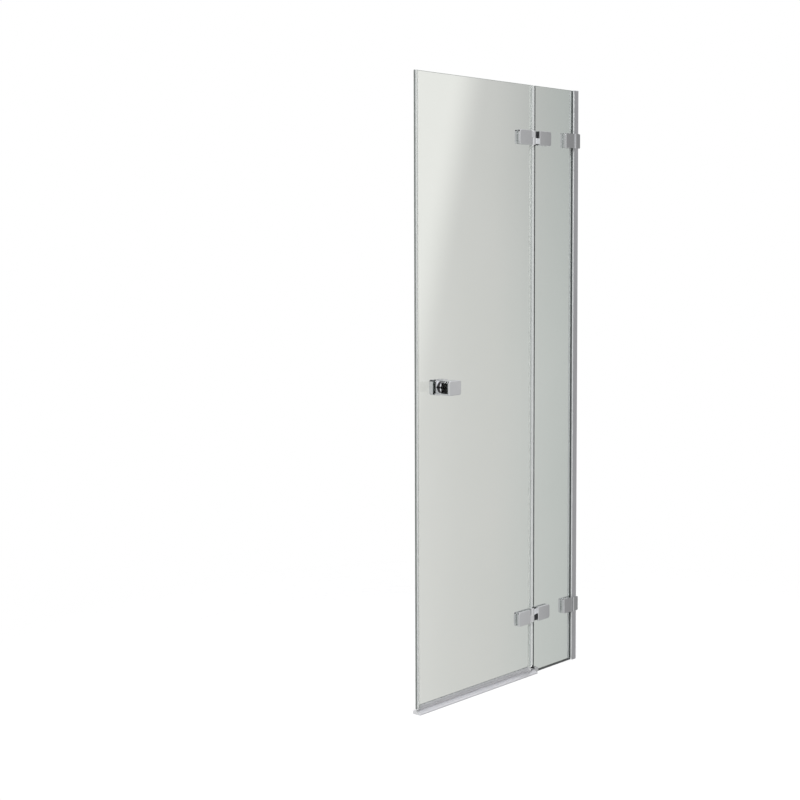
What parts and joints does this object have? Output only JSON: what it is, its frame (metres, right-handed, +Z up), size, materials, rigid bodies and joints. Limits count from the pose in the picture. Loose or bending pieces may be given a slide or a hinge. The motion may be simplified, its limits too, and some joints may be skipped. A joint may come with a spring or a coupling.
{
  "type": "shower door",
  "caption": "Frameless hinged glass shower door beside a fixed glass panel, with chrome barrel hinges, wall brackets, a square knob, clear seals and a sloping sill rail.",
  "frame": {"origin": "on the wall face, at the middle of the glass, at the surface that the rail and the profile stand on", "axes": "+X into the wall, with the door towards -X; -Y to the outside, where the door opens; +Z up"},
  "size_m": [0.858, 0.086, 2],
  "materials": {
    "clear_glass": "clear toughened safety glass with polished edges",
    "polished_chrome": "bright polished chrome plating",
    "satin_aluminium": "satin anodised extrusion, drawn along its length",
    "cap_plastic": "moulded grey plastic, fine grain",
    "clear_seal": "clear extruded soft plastic",
    "glazing_rubber": "pale grey glazing rubber",
    "sill_rubber": "dark grey sealing rubber",
    "clamp_rubber": "thin grey clamping pads",
    "stainless_steel": "bright stainless steel fasteners",
    "nylon": "white nylon bearing plastic",
    "liner_plastic": "black moulded plastic, fine grain"
  },
  "bodies": {
    "frame": {"fixed_glass": "clear_glass", "foot_clip": "polished_chrome", "glazing_gaskets": "glazing_rubber", "lower_bracket_clamp_plate": "polished_chrome", "lower_bracket_gaskets": "clamp_rubber", "lower_bracket_screws": "stainless_steel", "lower_hinge_fixed_clamp_plate": "polished_chrome", "lower_hinge_fixed_gaskets": "clamp_rubber", "lower_hinge_fixed_leaf": "polished_chrome", "lower_hinge_fixed_liner": "liner_plastic", "lower_hinge_fixed_screws": "stainless_steel", "lower_hinge_pin": "stainless_steel", "lower_hinge_washer": "nylon", "lower_wall_bracket": "polished_chrome", "profile_cap": "cap_plastic", "rail_end_cap": "polished_chrome", "sill_seal": "sill_rubber", "threshold_rail": "satin_aluminium", "upper_bracket_clamp_plate": "polished_chrome", "upper_bracket_gaskets": "clamp_rubber", "upper_bracket_screws": "stainless_steel", "upper_hinge_fixed_clamp_plate": "polished_chrome", "upper_hinge_fixed_gaskets": "clamp_rubber", "upper_hinge_fixed_leaf": "polished_chrome", "upper_hinge_fixed_liner": "liner_plastic", "upper_hinge_fixed_screws": "stainless_steel", "upper_hinge_pin": "stainless_steel", "upper_hinge_washer": "nylon", "upper_wall_bracket": "polished_chrome", "wall_profile": "satin_aluminium"},
    "door": {"knob_base_plate": "polished_chrome", "knob_head": "polished_chrome", "knob_inner_plate": "polished_chrome", "knob_neck": "polished_chrome", "knob_stud": "stainless_steel", "knob_washers": "clamp_rubber", "lower_hinge_bush": "nylon", "lower_hinge_door_clamp_plate": "polished_chrome", "lower_hinge_door_gaskets": "clamp_rubber", "lower_hinge_door_leaf": "polished_chrome", "lower_hinge_door_liner": "liner_plastic", "lower_hinge_door_screws": "stainless_steel", "upper_hinge_bush": "nylon", "upper_hinge_door_clamp_plate": "polished_chrome", "upper_hinge_door_gaskets": "clamp_rubber", "upper_hinge_door_leaf": "polished_chrome", "upper_hinge_door_liner": "liner_plastic", "upper_hinge_door_screws": "stainless_steel", "door_glass": "clear_glass", "closing_seal": "clear_seal", "hinge_side_seals": "clear_seal", "bottom_seal": "clear_seal"}
  },
  "joints": [
    {"name": "door_swing", "type": "hinge", "parent": "frame", "child": "door", "pos_m": [-0.248, 0, 1], "axis": [0, 0, 1], "range_deg": [0, 100]}
  ]
}
